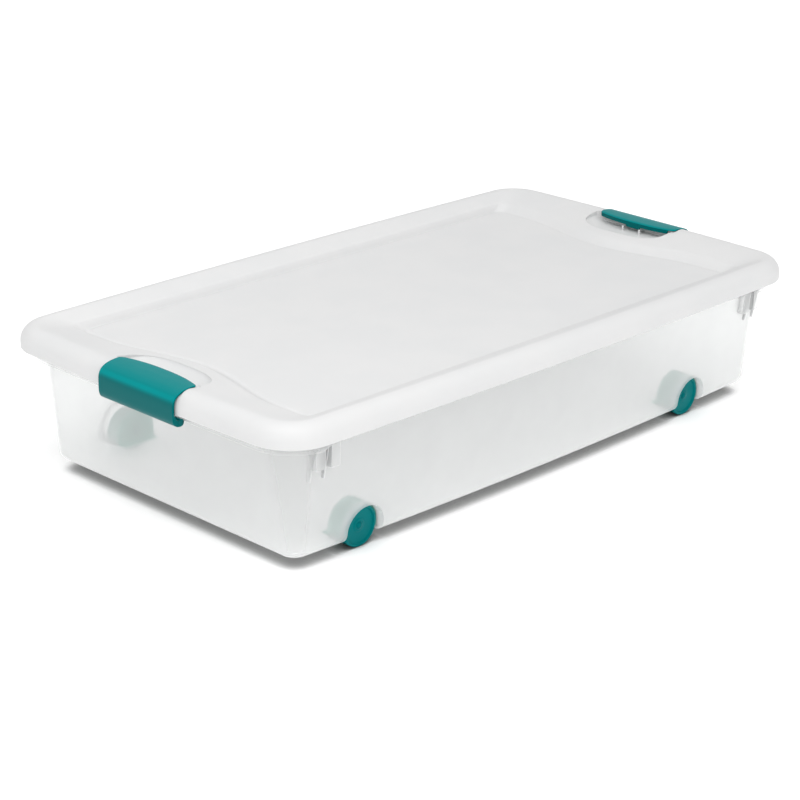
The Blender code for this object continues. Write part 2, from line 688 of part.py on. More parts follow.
# ---------------------------------------------------------------- wheels and pins
def build_turned(name, profile, mat, x, side, steps):
    """A profile turned about the wheel axis; local Z is the axis and points outward along Y."""
    mesh = bmesh.new()
    verts = [mesh.verts.new((radius, 0, y)) for radius, y in profile]
    has_bore = profile[0][0] > 0
    for pair in zip(verts, verts[1:]):
        mesh.edges.new(pair)
    if has_bore:
        mesh.edges.new((verts[-1], verts[0]))
    obj = link_mesh(name, mesh, PARTS)
    obj.data.materials.append(mat)
    turn = obj.modifiers.new("turn", "SCREW")
    turn.axis = "Z"
    turn.angle = 2 * pi
    turn.steps = steps
    turn.render_steps = steps
    turn.use_merge_vertices = True
    turn.merge_threshold = 0.00002
    turn.use_normal_calculate = True
    turn.use_normal_flip = not has_bore    # a profile that touches the axis turns inside out
    obj.rotation_euler = (-side * pi / 2, 0, 0)
    obj.location = (x, 0, AXLE_Z + LIFT)


def build_wheels():
    for axle, x in AXLES:
        for side_name, side in SIDE_NAMES:
            place = "_%s_%s" % (axle, side_name)
            build_turned("wheel" + place, WHEEL_PROFILE, WHEEL_PLASTIC, x, side, steps=36)
            build_turned("axle_pin" + place, PIN_PROFILE, PIN_PLASTIC, x, side, steps=20)


def shade_parts():
    """Smooth shading with sharp creases; turned parts have no faces of their own."""
    for obj in PARTS.objects:
        if obj.data.polygons:
            obj.data.shade_smooth()
            obj.data.set_sharp_from_angle(angle=SMOOTH_ANGLE)


build_tub()
build_lid()
build_latch("latch_front", -1)
build_latch("latch_rear", 1)
build_wheels()
shade_parts()
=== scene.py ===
"""Looks of an under-bed box: frosted tub, white lid, two teal latches and four wheels on pins.

The box is long in X with its front at -X, its right side at -Y and its wheels standing on z = 0.
Lengths are in metres.
"""
from math import pi, cos, sin, sqrt, radians

import bpy
import bmesh
from mathutils import Vector, Matrix


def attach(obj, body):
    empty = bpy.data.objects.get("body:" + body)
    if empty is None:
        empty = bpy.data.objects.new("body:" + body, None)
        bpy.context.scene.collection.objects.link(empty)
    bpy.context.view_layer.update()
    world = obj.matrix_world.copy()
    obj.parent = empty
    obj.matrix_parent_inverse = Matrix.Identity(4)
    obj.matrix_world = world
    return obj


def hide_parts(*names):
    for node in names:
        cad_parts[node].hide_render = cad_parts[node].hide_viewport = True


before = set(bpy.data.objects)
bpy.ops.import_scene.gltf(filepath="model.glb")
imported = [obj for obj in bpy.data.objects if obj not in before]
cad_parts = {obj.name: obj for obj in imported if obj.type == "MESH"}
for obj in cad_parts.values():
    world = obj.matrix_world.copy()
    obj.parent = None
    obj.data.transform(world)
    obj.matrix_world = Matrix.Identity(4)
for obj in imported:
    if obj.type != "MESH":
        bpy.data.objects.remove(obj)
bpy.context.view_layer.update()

# ------------------------------------------------------------------ driving dimensions
# Heights are counted from the tub's underside; LIFT takes them to the floor's frame.
WHEEL_R, AXLE_Z = 0.0245, 0.0122
LIFT = WHEEL_R - AXLE_Z
FRONT_REAR = (-1, 1)    # signs of x
RIGHT_LEFT = (-1, 1)    # signs of y

# Tub outline: half length, half width, corner radius
TUB_LOW = (0.3965, 0.2020, 0.0192)     # at the underside
TUB_HIGH = (0.4147, 0.2150, 0.0415)    # at WALL_TOP
WALL_TOP, RIM_TOP = 0.1416, 0.1626
TUB_BOW, TUB_EDGE, TUB_T = 0.0099, 0.0115, 0.0022    # bulge of long sides, bottom edge, thickness
FLANGE_Z0, FLANGE_Z1, FLANGE_OUT = 0.1375, 0.1400, 0.0105

LID_T, LID_Z0, LID_TOP, SHOULDER = 0.0020, 0.1416, 0.1670, 0.0183
POCKET_HALF, POCKET_Z = 0.0635, 0.1540
POCKET_Y = {-1: -0.0010, 1: 0.0025}    # middle of each finger pocket, by sign of x

LATCH_Y = {-1: -0.0065, 1: -0.0030}    # middle of each latch, by sign of x
LATCH_HALF, PIVOT_X, PIVOT_Z = 0.0620, 0.4325, 0.1313
LUG_Y, LUG_T, TAB_HALF = (-0.0450, 0.0, 0.0450), 0.0030, 0.0110

WHEEL_X = (-0.2950, 0.2720)
CHEEK_Y0, CHEEK_Y1 = 0.1772, 0.1797    # wall between each wheel well and the tub's inside
PIN_BORE = 0.0033

# Mesh steps of the rounded outlines and of the round rods
CORNER_STEPS, END_STEPS, SIDE_STEPS, ROD_STEPS = 16, 64, 48, 40

scene_col = bpy.context.scene.collection


# ------------------------------------------------------------------ points and curves
def between(p, q, t):
    return tuple(a + (b - a) * t for a, b in zip(p, q))


def blend(ring, other, t):
    return [between(p, q, t) for p, q in zip(ring, other)]


def bezier(start, pull, end, steps):
    """Rings along a quadratic curve between three rings."""
    return [[tuple((1 - t) ** 2 * a + 2 * t * (1 - t) * b + t * t * c for a, b, c in zip(p, q, r))
             for p, q, r in zip(start, pull, end)]
            for t in (i / steps for i in range(steps + 1))]


def arc(cx, cy, radius, first, last, steps):
    """Points on a circle from one angle to another, in degrees, both ends included."""
    angles = [radians(first + (last - first) * i / steps) for i in range(steps + 1)]
    return [(cx + radius * cos(t), cy + radius * sin(t)) for t in angles]


def spline(points, steps):
    """Catmull-Rom curve through points, so many steps a span."""
    out = []
    ext = [points[0]] + points + [points[-1]]
    for span in zip(ext, ext[1:], ext[2:], ext[3:]):
        for i in range(steps):
            t = i / steps
            out.append(tuple(0.5 * (2 * b + (c - a) * t + (2 * a - 5 * b + 4 * c - d) * t * t
                                    + (3 * b - a - 3 * c + d) * t ** 3)
                             for a, b, c, d in zip(*span)))
    return out + [points[-1]]


def smooth(value, low, high):
    t = min(max((value - low) / (high - low), 0.0), 1.0)
    return t * t * (3 - 2 * t)


def span(side, a, b):
    """Two distances from a middle plane as ascending coordinates on one side of it."""
    return sorted((side * a, side * b))


def level(outline, z):
    return [(x, y, z + LIFT) for x, y in outline]


def rounded(half_x, half_y, radius, bow_x=0.0, bow_y=0.0):
    """Rounded rectangle whose sides bulge outward by the bows."""
    cx, cy = half_x - radius, half_y - radius

    def straight(start, end, steps):
        return [between(start, end, i / steps) for i in range(steps)]

    def corner(x, y, first):
        return arc(x, y, radius, first, first + 90, CORNER_STEPS)[:-1]

    points = straight((half_x, -cy), (half_x, cy), END_STEPS) + corner(cx, cy, 0)
    points += straight((cx, half_y), (-cx, half_y), SIDE_STEPS) + corner(-cx, cy, 90)
    points += straight((-half_x, cy), (-half_x, -cy), END_STEPS) + corner(-cx, -cy, 180)
    points += straight((-cx, -half_y), (cx, -half_y), SIDE_STEPS) + corner(cx, -cy, 270)
    return [(x * (1 + bow_x / half_x * (1 - (y / half_y) ** 2)),
             y * (1 + bow_y / half_y * (1 - (x / half_x) ** 2))) for x, y in points]


# ------------------------------------------------------------------ mesh tools
def mesh_object(name, verts, faces):
    mesh = bpy.data.meshes.new(name)
    mesh.from_pydata(verts, [], faces)
    mesh.update()
    ob = bpy.data.objects.new(name, mesh)
    scene_col.objects.link(ob)
    return ob


def solid(verts, faces):
    """Closed mesh with doubles merged and normals facing out."""
    ob = mesh_object("part", verts, faces)
    bm = bmesh.new()
    bm.from_mesh(ob.data)
    bmesh.ops.remove_doubles(bm, verts=bm.verts, dist=2e-6)
    bmesh.ops.recalc_face_normals(bm, faces=bm.faces)
    bm.to_mesh(ob.data)
    bm.free()
    return ob


def skin(rings, loop=False):
    """Quads through rings of equal point count; the ends are capped, or joined if loop is set."""
    n, m = len(rings[0]), len(rings)
    faces = []
    for k in range(m if loop else m - 1):
        a, b = k * n, ((k + 1) % m) * n
        for i in range(n):
            j = (i + 1) % n
            faces.append((a + i, a + j, b + j, b + i))
    if not loop:
        faces.append(tuple(reversed(range(n))))
        faces.append(tuple(range((m - 1) * n, m * n)))
    return solid([p for ring in rings for p in ring], faces)


def prism(near, far):
    """Solid between two outlines of equal point count."""
    n = len(near)
    faces = [tuple(range(n)), tuple(range(2 * n - 1, n - 1, -1))]
    faces += [(i, i + n, (i + 1) % n + n, (i + 1) % n) for i in range(n)]
    return solid(near + far, faces)


def extrude_y(outline, y0, y1, side=1):
    """Prism along Y from an (x, z) outline, with x multiplied by side."""
    return prism(*([(side * x, y, z + LIFT) for x, z in outline] for y in (y0, y1)))


def rod_y(x, z, y0, y1, radius):
    return extrude_y(arc(x, z, radius, 0, 360, ROD_STEPS)[:-1], y0, y1)


def joined(obs):
    verts, faces = [], []
    for ob in obs:
        k = len(verts)
        verts += [tuple(v.co) for v in ob.data.vertices]
        faces += [tuple(k + i for i in p.vertices) for p in ob.data.polygons]
        bpy.data.objects.remove(ob, do_unlink=True)
    return mesh_object("part", verts, faces)


def boolean(ob, operation, other, keep=False):
    """Apply a boolean to ob; the other object is removed unless kept."""
    modifier = ob.modifiers.new("boolean", "BOOLEAN")
    modifier.operation = operation
    modifier.solver = "MANIFOLD"
    modifier.object = other
    bpy.context.view_layer.update()
    depsgraph = bpy.context.evaluated_depsgraph_get()
    mesh = bpy.data.meshes.new_from_object(ob.evaluated_get(depsgraph))
    ob.modifiers.clear()
    old = ob.data
    ob.data = mesh
    bpy.data.meshes.remove(old)
    if not keep:
        bpy.data.objects.remove(other, do_unlink=True)


def finish(ob, name, material, body, replaced):
    """Name, tidy and shade a piece, then tell the frame what it rides on and replaces."""
    ob.name = name
    ob.data.name = name
    bm = bmesh.new()
    bm.from_mesh(ob.data)
    bmesh.ops.dissolve_degenerate(bm, dist=2e-6, edges=bm.edges)
    bm.to_mesh(ob.data)
    bm.free()
    ob.data.materials.clear()
    ob.data.materials.append(material)
    for polygon in ob.data.polygons:
        polygon.material_index = 0
    ob.data.shade_smooth()
    ob.data.set_sharp_from_angle(angle=radians(32))
    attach(ob, body)
    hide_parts(replaced)


# ------------------------------------------------------------------ materials
class Graph:
    """Short calls for building a material's node tree; values may be numbers or sockets."""

    def __init__(self, name):
        self.material = bpy.data.materials.new(name)
        self.material.use_nodes = True
        self.tree = self.material.node_tree
        self.tree.nodes.clear()

    def feed(self, socket, value):
        if isinstance(value, bpy.types.NodeSocket):
            self.tree.links.new(value, socket)
        else:
            socket.default_value = value

    def node(self, kind, ins=None, **props):
        node = self.tree.nodes.new("ShaderNode" + kind)
        for key, value in props.items():
            setattr(node, key, value)
        for key, value in (ins or {}).items():
            self.feed(node.inputs[key], value)
        return node

    def add(self, kind, ins=None, output=0, **props):
        return self.node(kind, ins, **props).outputs[output]

    def math(self, operation, *values, clamp=False):
        return self.add("Math", dict(enumerate(values)), operation=operation, use_clamp=clamp)

    def mix(self, factor, a, b):
        """Mix two colours; sockets 6 and 7 are the node's colour inputs."""
        a, b = ((*v, 1.0) if isinstance(v, tuple) else v for v in (a, b))
        return self.add("Mix", {"Factor": factor, 6: a, 7: b}, output=2, data_type="RGBA")

    def noise(self, vector, scale, detail, roughness):
        return self.add("TexNoise", {"Scale": scale, "Detail": detail, "Roughness": roughness,
                                     "Vector": vector}, "Fac")

    def ramp(self, value, start, end):
        """Smooth step from 0 at start to 1 at end."""
        return self.add("MapRange", {"From Min": start, "From Max": end, "Value": value},
                        interpolation_type="SMOOTHSTEP")

    def bump(self, height, distance, normal):
        return self.add("Bump", {"Height": height, "Strength": 1.0, "Distance": distance,
                                 "Normal": normal})

    def blend_shader(self, factor, first, second):
        return self.add("MixShader", {0: factor, 1: first, 2: second})

    def done(self, shader):
        self.node("OutputMaterial", {"Surface": shader})
        return self.material


def plastic(name, base, shade, rough, grain_scale, grain_height, bevel, wear, edge_gain,
            specular=0.5, tint=(1.0, 1.0, 1.0), through=0.0, painted_hollow_shade=0.0, facing=None):
    """Moulded plastic: fine grain, slow colour and gloss variation, softened and worn edges.

    through is the translucent share, cavity the painted shade in hollows, and facing the base
    colour's gains that paint light and shade by face direction: on side faces and on faces turned
    up.
    """
    g = Graph(name)
    co = g.add("TexCoord", output="Object")
    slow = g.noise(co, scale=14.0, detail=3.0, roughness=0.55)
    mid = g.noise(co, scale=90.0, detail=3.0, roughness=0.6)
    fine = g.noise(co, scale=grain_scale, detail=2.0, roughness=0.6)
    streaks = g.add("Mapping", {"Vector": co, "Scale": (60.0, 420.0, 60.0),
                                "Rotation": (0.0, 0.0, 0.5)})
    scuff = g.ramp(g.noise(streaks, scale=3.0, detail=4.0, roughness=0.7), start=0.70, end=0.86)
    # An edge is where the rounded normal leaves the true one.
    soft_normal = g.add("Bevel", {"Radius": bevel}, samples=6)
    normal = g.add("NewGeometry", output="Normal")
    dot = g.add("VectorMath", {0: soft_normal, 1: normal}, "Value", operation="DOT_PRODUCT")
    edge = g.ramp(dot, start=0.995, end=0.90)

    scuff_tint, scuff_rough, rough_swing, mid_height = 0.05, 0.08, 0.10, 0.35
    col = g.mix(g.ramp(slow, start=0.35, end=0.65), base, shade)
    col = g.mix(g.math("MULTIPLY", edge, edge_gain), col, wear)
    col = g.mix(g.math("MULTIPLY", scuff, scuff_tint), col, wear)
    # Painted shade: the colour darkens towards black in hollows found by occlusion.
    if painted_hollow_shade:
        ao = g.add("AmbientOcclusion", {"Distance": 0.010}, "AO", samples=6)
        painted_hollow_mask = g.ramp(ao, start=0.98, end=0.55)
        col = g.mix(g.math("MULTIPLY", painted_hollow_mask, painted_hollow_shade), col, (0.0, 0.0, 0.0))
    # Painted light and shade by face direction: faces turned up and side faces get their own colour
    # gains, and the band between them keeps the base colour.
    if facing:
        painted_side_shade, painted_top_shade = (tuple(v * gain for v in base) for gain in facing)
        rise = g.add("SeparateXYZ", {0: soft_normal}, 2)
        col = g.mix(g.ramp(rise, start=0.60, end=0.80), col, painted_top_shade)
        col = g.mix(g.ramp(rise, start=0.50, end=0.12), col, painted_side_shade)
    gloss = g.math("MULTIPLY_ADD", mid, rough_swing, rough - rough_swing / 2)
    gloss = g.math("ADD", gloss, g.math("MULTIPLY", scuff, scuff_rough))
    height = g.math("ADD", g.math("MULTIPLY", fine, 1.0), g.math("MULTIPLY", mid, mid_height))
    bump = g.bump(height, grain_height, soft_normal)
    surface = g.add("BsdfPrincipled", {
        "Base Color": col, "Roughness": gloss, "IOR": 1.49, "Normal": bump,
        "Specular IOR Level": specular, "Specular Tint": (*tint, 1.0)})
    if through:
        translucent = g.add("BsdfTranslucent", {"Color": col, "Normal": bump})
        surface = g.blend_shader(through, surface, translucent)
    return g.done(surface)


def teal(name, **look):
    return plastic(name, specular=0.2, tint=(0.05, 0.75, 0.75), **look)


def painted_wheel_light_mask(g):
    """Mask of painted wheel-coloured light: 1 in the wheel wells, faded by |y|."""
    position = g.add("NewGeometry", output="Position")
    pos = g.node("SeparateXYZ", {0: position}).outputs
    dz = g.math("SUBTRACT", pos[2], WHEEL_R)
    dz_squared = g.math("MULTIPLY", dz, dz)
    near = None
    for axle_x in WHEEL_X:
        dx = g.math("SUBTRACT", pos[0], axle_x)
        distance = g.math("SQRT", g.math("MULTIPLY_ADD", dx, dx, dz_squared))
        disc = g.ramp(distance, start=0.0290, end=0.0262)
        near = disc if near is None else g.math("MAXIMUM", near, disc)
    across = g.math("ABSOLUTE", pos[1])
    band = g.math("MULTIPLY", g.ramp(across, start=0.1985, end=0.1960),
                  g.ramp(across, start=0.160, end=0.170))
    return g.math("MULTIPLY", near, band)


def frosted(name):
    """Natural polypropylene: lets shapes close behind it show, milky in reflected light."""
    g = Graph(name)
    co = g.add("TexCoord", output="Object")
    slow = g.noise(co, scale=9.0, detail=3.0, roughness=0.55)
    fine = g.noise(co, scale=1500.0, detail=2.0, roughness=0.6)
    mid = g.noise(co, scale=120.0, detail=3.0, roughness=0.6)
    soft_normal = g.add("Bevel", {"Radius": 0.0007}, samples=6)
    mid_height = 0.5
    height = g.math("ADD", fine, g.math("MULTIPLY", mid, mid_height))
    bump = g.bump(height, 0.00002, soft_normal)
    col = g.mix(g.ramp(slow, start=0.35, end=0.65), (0.93, 0.935, 0.935), (0.91, 0.915, 0.915))
    # Painted shade: outer faces darken in crevices found by occlusion.
    ao = g.add("AmbientOcclusion", {"Distance": 0.014}, "AO", samples=6)
    front = g.math("SUBTRACT", 1.0, g.add("NewGeometry", output="Backfacing"))
    painted_crevice_shade = g.math("MULTIPLY", g.ramp(ao, start=0.84, end=0.46), front)
    col = g.mix(painted_crevice_shade, col, (0.30, 0.31, 0.31))
    # Painted light: the wells are tinted in the wheels' colour, standing in for the lit wheel seen
    # through the wall.
    painted_well_light = painted_wheel_light_mask(g)
    col = g.mix(painted_well_light, col, (0.06, 0.38, 0.30))

    diffuse = g.add("BsdfDiffuse", {"Color": col, "Roughness": 0.6, "Normal": bump})
    translucent = g.add("BsdfTranslucent", {"Color": col, "Normal": bump})
    translucent_share = 0.45
    milk = g.blend_shader(translucent_share, diffuse, translucent)
    # Painted glow: the milk emits light of its own, though the tub is no lamp.
    glow = g.add("Emission", {"Color": col, "Strength": 0.10})
    milk = g.add("AddShader", {0: milk, 1: glow})
    clear = g.add("BsdfTransparent", {"Color": (0.995, 0.997, 0.996, 1.0)})

    # Milkiness: face on, gain at a glance, and gains by slow noise, painted crevice shade and
    # painted well light
    face_on, glance_gain, slow_gain, painted_crevice_shade_gain, painted_well_light_gain = 0.17, 0.22, 0.03, 0.45, 0.50
    glance = g.add("LayerWeight", {"Blend": 0.35, "Normal": bump}, "Facing")
    amount = g.math("MULTIPLY_ADD", glance, glance_gain, face_on, clamp=True)
    patches = g.ramp(slow, start=0.3, end=0.7)
    amount = g.math("ADD", amount, g.math("MULTIPLY", patches, slow_gain))
    amount = g.math("ADD", amount, g.math("MULTIPLY", painted_crevice_shade, painted_crevice_shade_gain), clamp=True)
    amount = g.math("ADD", amount, g.math("MULTIPLY", painted_well_light, painted_well_light_gain), clamp=True)
    # Full milkiness for camera rays, a part for diffuse rays; all others pass freely.
    diffuse_ray_share = 0.45
    ray = g.node("LightPath").outputs
    seen = g.math("ADD", ray["Is Camera Ray"],
                  g.math("MULTIPLY", ray["Is Diffuse Ray"], diffuse_ray_share), clamp=True)
    amount = g.math("MULTIPLY", amount, seen)
    body = g.blend_shader(amount, clear, milk)

    # Reflection from the outer side only, rising at a glance
    rough_swing, rough_base = 0.12, 0.26
    gloss = g.add("BsdfGlossy", {
        "Color": (1, 1, 1, 1), "Normal": bump,
        "Roughness": g.math("MULTIPLY_ADD", mid, rough_swing, rough_base)})
    reflect_power, reflect_gain, reflect_base = 5.0, 0.90, 0.055
    facing = g.add("LayerWeight", {"Blend": 0.5, "Normal": bump}, "Facing")
    fresnel = g.math("MULTIPLY_ADD", g.math("POWER", facing, reflect_power),
                     reflect_gain, reflect_base)
    behind = g.add("NewGeometry", output="Backfacing")
    fresnel = g.math("MULTIPLY", fresnel, g.math("SUBTRACT", 1.0, behind), clamp=True)
    return g.done(g.blend_shader(fresnel, body, gloss))


def floor_material(name, col):
    """Pale studio floor with a painted shadow under the box, drawn from occlusion, as the tub lets
    light through.
    """
    g = Graph(name)
    co = g.add("TexCoord", output="Object")
    patches = g.noise(co, scale=3.0, detail=3.0, roughness=0.5)
    ao = g.add("AmbientOcclusion", {"Distance": 0.0185}, "AO", samples=12)
    unshaded = g.ramp(ao, start=0.42, end=0.82)
    depth = g.add("LightPath", output="Transparent Depth")
    through = g.math("MINIMUM", depth, 1.0)
    bare = g.math("MULTIPLY", unshaded, g.math("SUBTRACT", 1.0, through))
    unshaded = g.math("MAXIMUM", unshaded, through)
    dull = tuple(v * 0.995 for v in col)
    col = g.mix(g.ramp(patches, start=0.3, end=0.7), col, dull)
    # Painted shadow: the floor turns grey where the box occludes it, except where it is seen
    # through the tub; the emission below drops there too, and the floor seen through the tub glows
    # as painted light.
    col = g.mix(unshaded, (0.24, 0.24, 0.24), col)
    bare_glow, through_glow = 0.22, 0.14    # emission seen directly and through the tub
    glow = g.math("ADD", g.math("MULTIPLY", bare, bare_glow),
                  g.math("MULTIPLY", through, through_glow))
    return g.done(g.add("BsdfPrincipled", {
        "Base Color": col, "Roughness": 0.9, "Specular IOR Level": 0.0,
        "Emission Color": (1.0, 1.0, 1.0, 1.0), "Emission Strength": glow}))


TUB_LOOK = frosted("frosted_natural")
# The lid gets painted shade in its hollows.
LID_LOOK = plastic(
    "white_plastic", base=(0.86, 0.86, 0.86), shade=(0.845, 0.848, 0.85), rough=0.42,
    grain_scale=1500.0, grain_height=0.00003, bevel=0.0009,
    wear=(0.95, 0.95, 0.95), edge_gain=0.3, through=0.22, painted_hollow_shade=0.12)
# The latch's colour carries painted light and shade by the direction of its faces.
LATCH_LOOK = teal(
    "teal_plastic", base=(0.0, 0.262, 0.270), shade=(0.0, 0.250, 0.258), rough=0.40,
    grain_scale=1300.0, grain_height=0.00002, bevel=0.0006,
    wear=(0.02, 0.36, 0.36), edge_gain=0.35, facing=(0.46, 0.84))
WHEEL_LOOK = teal(
    "teal_wheel", base=(0.0, 0.170, 0.177), shade=(0.0, 0.155, 0.163), rough=0.46,
    grain_scale=1100.0, grain_height=0.00003, bevel=0.0006,
    wear=(0.02, 0.24, 0.24), edge_gain=0.3)
PIN_LOOK = teal(
    "teal_pin", base=(0.0, 0.155, 0.162), shade=(0.0, 0.140, 0.150), rough=0.38,
    grain_scale=1100.0, grain_height=0.00002, bevel=0.0005,
    wear=(0.02, 0.24, 0.24), edge_gain=0.3)


# ------------------------------------------------------------------ lid
LID_A, LID_B, LID_R, LID_BOW_X, LID_BOW_Y = 0.4350, 0.2378, 0.0508, 0.0050, 0.0058
# Lip round the sunken panel, and the panel; the lip bumps inward at both ends
LIP_X, LIP_Y, LIP_R, LIP_Z, PANEL_Z = 0.3725, 0.1970, 0.0140, 0.1580, 0.1500
BUMP, BUMP_HALF = 0.0250, 0.1450
FOOT_DX, FOOT_DY, FOOT_Z = 0.0140, 0.0050, PANEL_Z - 0.0008    # foot of the wall below the lip
# Steps from the lid's crest (0) to the lip (1)
MARGIN_STEPS = (0.02, 0.05, 0.09, 0.15, 0.22, 0.30, 0.40, 0.50, 0.60, 0.70, 0.80, 0.88, 0.94)
MARGIN_EASE = 0.07

POCKET_X0, POCKET_XC, POCKET_X1 = 0.3655, 0.4050, 0.4125    # tip, widest, outer side
POCKET_POWER, POCKET_STEPS, POCKET_CORNER = 2.8, 72, 0.0030
POCKET_WALL = 0.0018
# Pocket floor: share drawn in towards the outer side, height above POCKET_Z
SCOOP = spline([(0.62, 0.0), (0.50, 0.0001), (0.35, 0.0005), (0.18, 0.0017), (0.06, 0.0036),
                (0.0, 0.0060)], 4)
# Shallow seat under each latch: x, z
SEAT_X0, SEAT_X1, SEAT_CLEAR_Z = 0.4040, 0.4370, 0.1750
SEAT = spline([(SEAT_X0, 0.1645), (0.4160, 0.1654), (0.4216, 0.1651), (0.4293, 0.1637),
               (0.4330, 0.1621), (SEAT_X1, 0.1597)], 4)
# Small posts in the pockets: height, width factor
POST_X, POST_RX, POST_RY, POST_GAP = 0.3980, 0.0018, 0.0014, 0.0026
POST = ((POCKET_Z - 0.0010, 1.12), (POCKET_Z + 0.0008, 1.02), (0.1594, 0.96), (0.1601, 0.85),
        (0.1603, 0.60))


def lid_outline(inset):
    return rounded(LID_A - inset, LID_B - inset, LID_R - inset, LID_BOW_X, LID_BOW_Y)


def panel_edge(dx, dy):
    out = []
    for x, y in rounded(LIP_X - dx, LIP_Y - dy, LIP_R):
        if abs(y) < BUMP_HALF:
            side = 1 if x > 0 else -1
            x -= side * BUMP * cos(pi * y / (2 * BUMP_HALF)) ** 2
        out.append((x, y))
    return out


def lid_skin(depth):
    """Rings from the skirt's lower edge to the middle, at a depth below the outer face."""
    crest, lip = lid_outline(SHOULDER), panel_edge(0, 0)

    def margin(s):
        ease = MARGIN_EASE
        fall = (sqrt(s * s + ease * ease) - ease) / (sqrt(1 + ease * ease) - ease)
        return level(blend(crest, lip, s), LID_TOP + (LIP_Z - LID_TOP) * fall - depth)

    def panel(dx, dy, z):
        return level(panel_edge(FOOT_DX + dx, FOOT_DY + dy), z - depth)

    rings = [level(lid_outline(depth), LID_Z0 + z) for z in (0.0005, 0.0040)]
    for i in range(15):
        t = radians(90 * i / 14)
        inset = SHOULDER * (1 - cos(t)) + depth * cos(t)
        rings.append(level(lid_outline(inset), LID_TOP - SHOULDER * (1 - sin(t)) - depth * sin(t)))
    rings += [margin(s) for s in MARGIN_STEPS]
    lip_ring, foot = level(lip, LIP_Z - depth), panel(0, 0, FOOT_Z)
    high, low = blend(lip_ring, foot, 0.22), blend(lip_ring, foot, 0.86)
    rings += bezier(margin(0.955), lip_ring, high, 7)
    rings += [blend(high, low, 0.5)]
    rings += bezier(low, foot, panel(0.0022, 0.0014, FOOT_Z), 5)
    rings += bezier(panel(0.0030, 0.0018, FOOT_Z), panel(0.0044, 0.0026, FOOT_Z),
                    panel(0.0062, 0.0038, PANEL_Z), 5)
    return rings + [panel(0.0080, 0.0050, PANEL_Z), panel(0.020, 0.020, PANEL_Z)]


def pocket_outline(side, grow, drawn=0.0):
    """Outline of a finger pocket; drawn pulls it in towards the latch's side."""
    half_x, half_y = POCKET_XC - POCKET_X0 + grow, POCKET_HALF + grow
    points = []
    for i in range(POCKET_STEPS + 1):
        t = -pi / 2 + pi * i / POCKET_STEPS
        c, s = cos(t), sin(t)
        points.append((POCKET_XC - half_x * abs(c) ** (2 / POCKET_POWER),
                       half_y * (1 if s > 0 else -1) * abs(s) ** (2 / POCKET_POWER)))
    x1, r = POCKET_X1 + grow, POCKET_CORNER
    points += arc(x1 - r, half_y - r, r, 72, 0, 4) + arc(x1 - r, r - half_y, r, 0, -72, 4)
    return [(side * (x1 - (x1 - x) * (1 - drawn)), POCKET_Y[side] + y * (1 - 0.8 * drawn))
            for x, y in points]


def scoops(grow, top):
    """Both pockets as solids, grown outward and downward."""
    return joined([skin([level(pocket_outline(side, grow, max(drawn, 0.0)), POCKET_Z + z - grow)
                         for drawn, z in SCOOP] + [level(pocket_outline(side, grow), top)])
                   for side in FRONT_REAR])


def latch_seats(drop, x0, margin):
    outline = [(max(x, x0), z - drop) for x, z in SEAT]
    outline = [(x0, SEAT_CLEAR_Z)] + [p for i, p in enumerate(outline)
                                      if i == 0 or p[0] > x0 + 1e-5] + [(SEAT_X1, SEAT_CLEAR_Z)]
    half = LATCH_HALF + margin
    return joined([extrude_y(outline, LATCH_Y[side] - half, LATCH_Y[side] + half, side)
                   for side in FRONT_REAR])


def post(side, side_y):
    yc = LATCH_Y[side] + side_y * (TAB_HALF + POST_GAP)
    return skin([[(side * POST_X + POST_RX * s * u, yc + POST_RY * s * v, z + LIFT)
                  for u, v in arc(0, 0, 1, 0, 340, 17)] for z, s in POST])


def build_lid():
    ease = 0.0004    # of the skirt's lower edge
    lower_edge = [level(lid_outline(inset), LID_Z0) for inset in (LID_T - ease, ease)]
    lid = skin(list(reversed(lid_skin(LID_T))) + lower_edge + lid_skin(0.0))
    # Added walls are trimmed to the lid's mid surface before they are joined on.
    volume = skin([level(lid_outline(LID_T / 2), LID_Z0 - 0.02)] + lid_skin(LID_T / 2))
    shells = scoops(POCKET_WALL, 0.1800)
    boolean(shells, "INTERSECT", volume, keep=True)
    boolean(lid, "UNION", shells)
    boolean(lid, "DIFFERENCE", scoops(0.0, 0.1900))
    seats = latch_seats(drop=0.0018, x0=0.4134, margin=0.0026)
    boolean(seats, "INTERSECT", volume)
    boolean(lid, "UNION", seats)
    boolean(lid, "DIFFERENCE", latch_seats(drop=0.0, x0=SEAT_X0, margin=0.0008))
    boolean(lid, "UNION", joined([post(side, sy) for side in FRONT_REAR for sy in RIGHT_LEFT]))
    finish(lid, "lid_shell", LID_LOOK, "lid", "lid")


build_lid()

# ------------------------------------------------------------------ tub
RIM_STEP = 0.0008    # the rim stands out this much from the wall's top
# Rim: inset of the outer face, z
RIM = ((0.0, 0.1550), (0.0, RIM_TOP - 0.0008), (0.0003, RIM_TOP - 0.0002), (0.0008, RIM_TOP))
# Ribs below the flange: |x|, width, z of the lower end, whether the rib tapers to the wall
RIBS = ((0.3840, 0.0018, 0.0930, True), (0.3762, 0.0120, 0.1070, False),
        (0.3653, 0.0018, 0.0934, True), (0.3562, 0.0118, 0.1066, False))
RIB_OUT_TOP, RIB_OUT_LOW, RIB_OUT_TAPER = 0.0072, 0.0066, 0.0030
FLANGE_LIP_T, LIP_END_Z, LIP_SIDE_Z = 0.0020, 0.1295, 0.1363    # the lip hangs lower at the ends
LUG_R, BAR_R, BAR_HALF = 0.0026, 0.0020, 0.0560
DIP_HALF, DIP_R, DIP_Z, DIP_TOP = 0.0700, 0.0040, 0.1502, 0.1720
DIP_X0, DIP_X1 = 0.4050, 0.4220
ARCH_R, ARCH_WALL, ARCH_STEPS = 0.0265, 0.0020, 48
# Arched slot round each pin hole
SLOT_R1, SLOT_R0, SLOT_LOW, SLOT_STEPS = 0.0104, 0.0092, 0.0050, 32


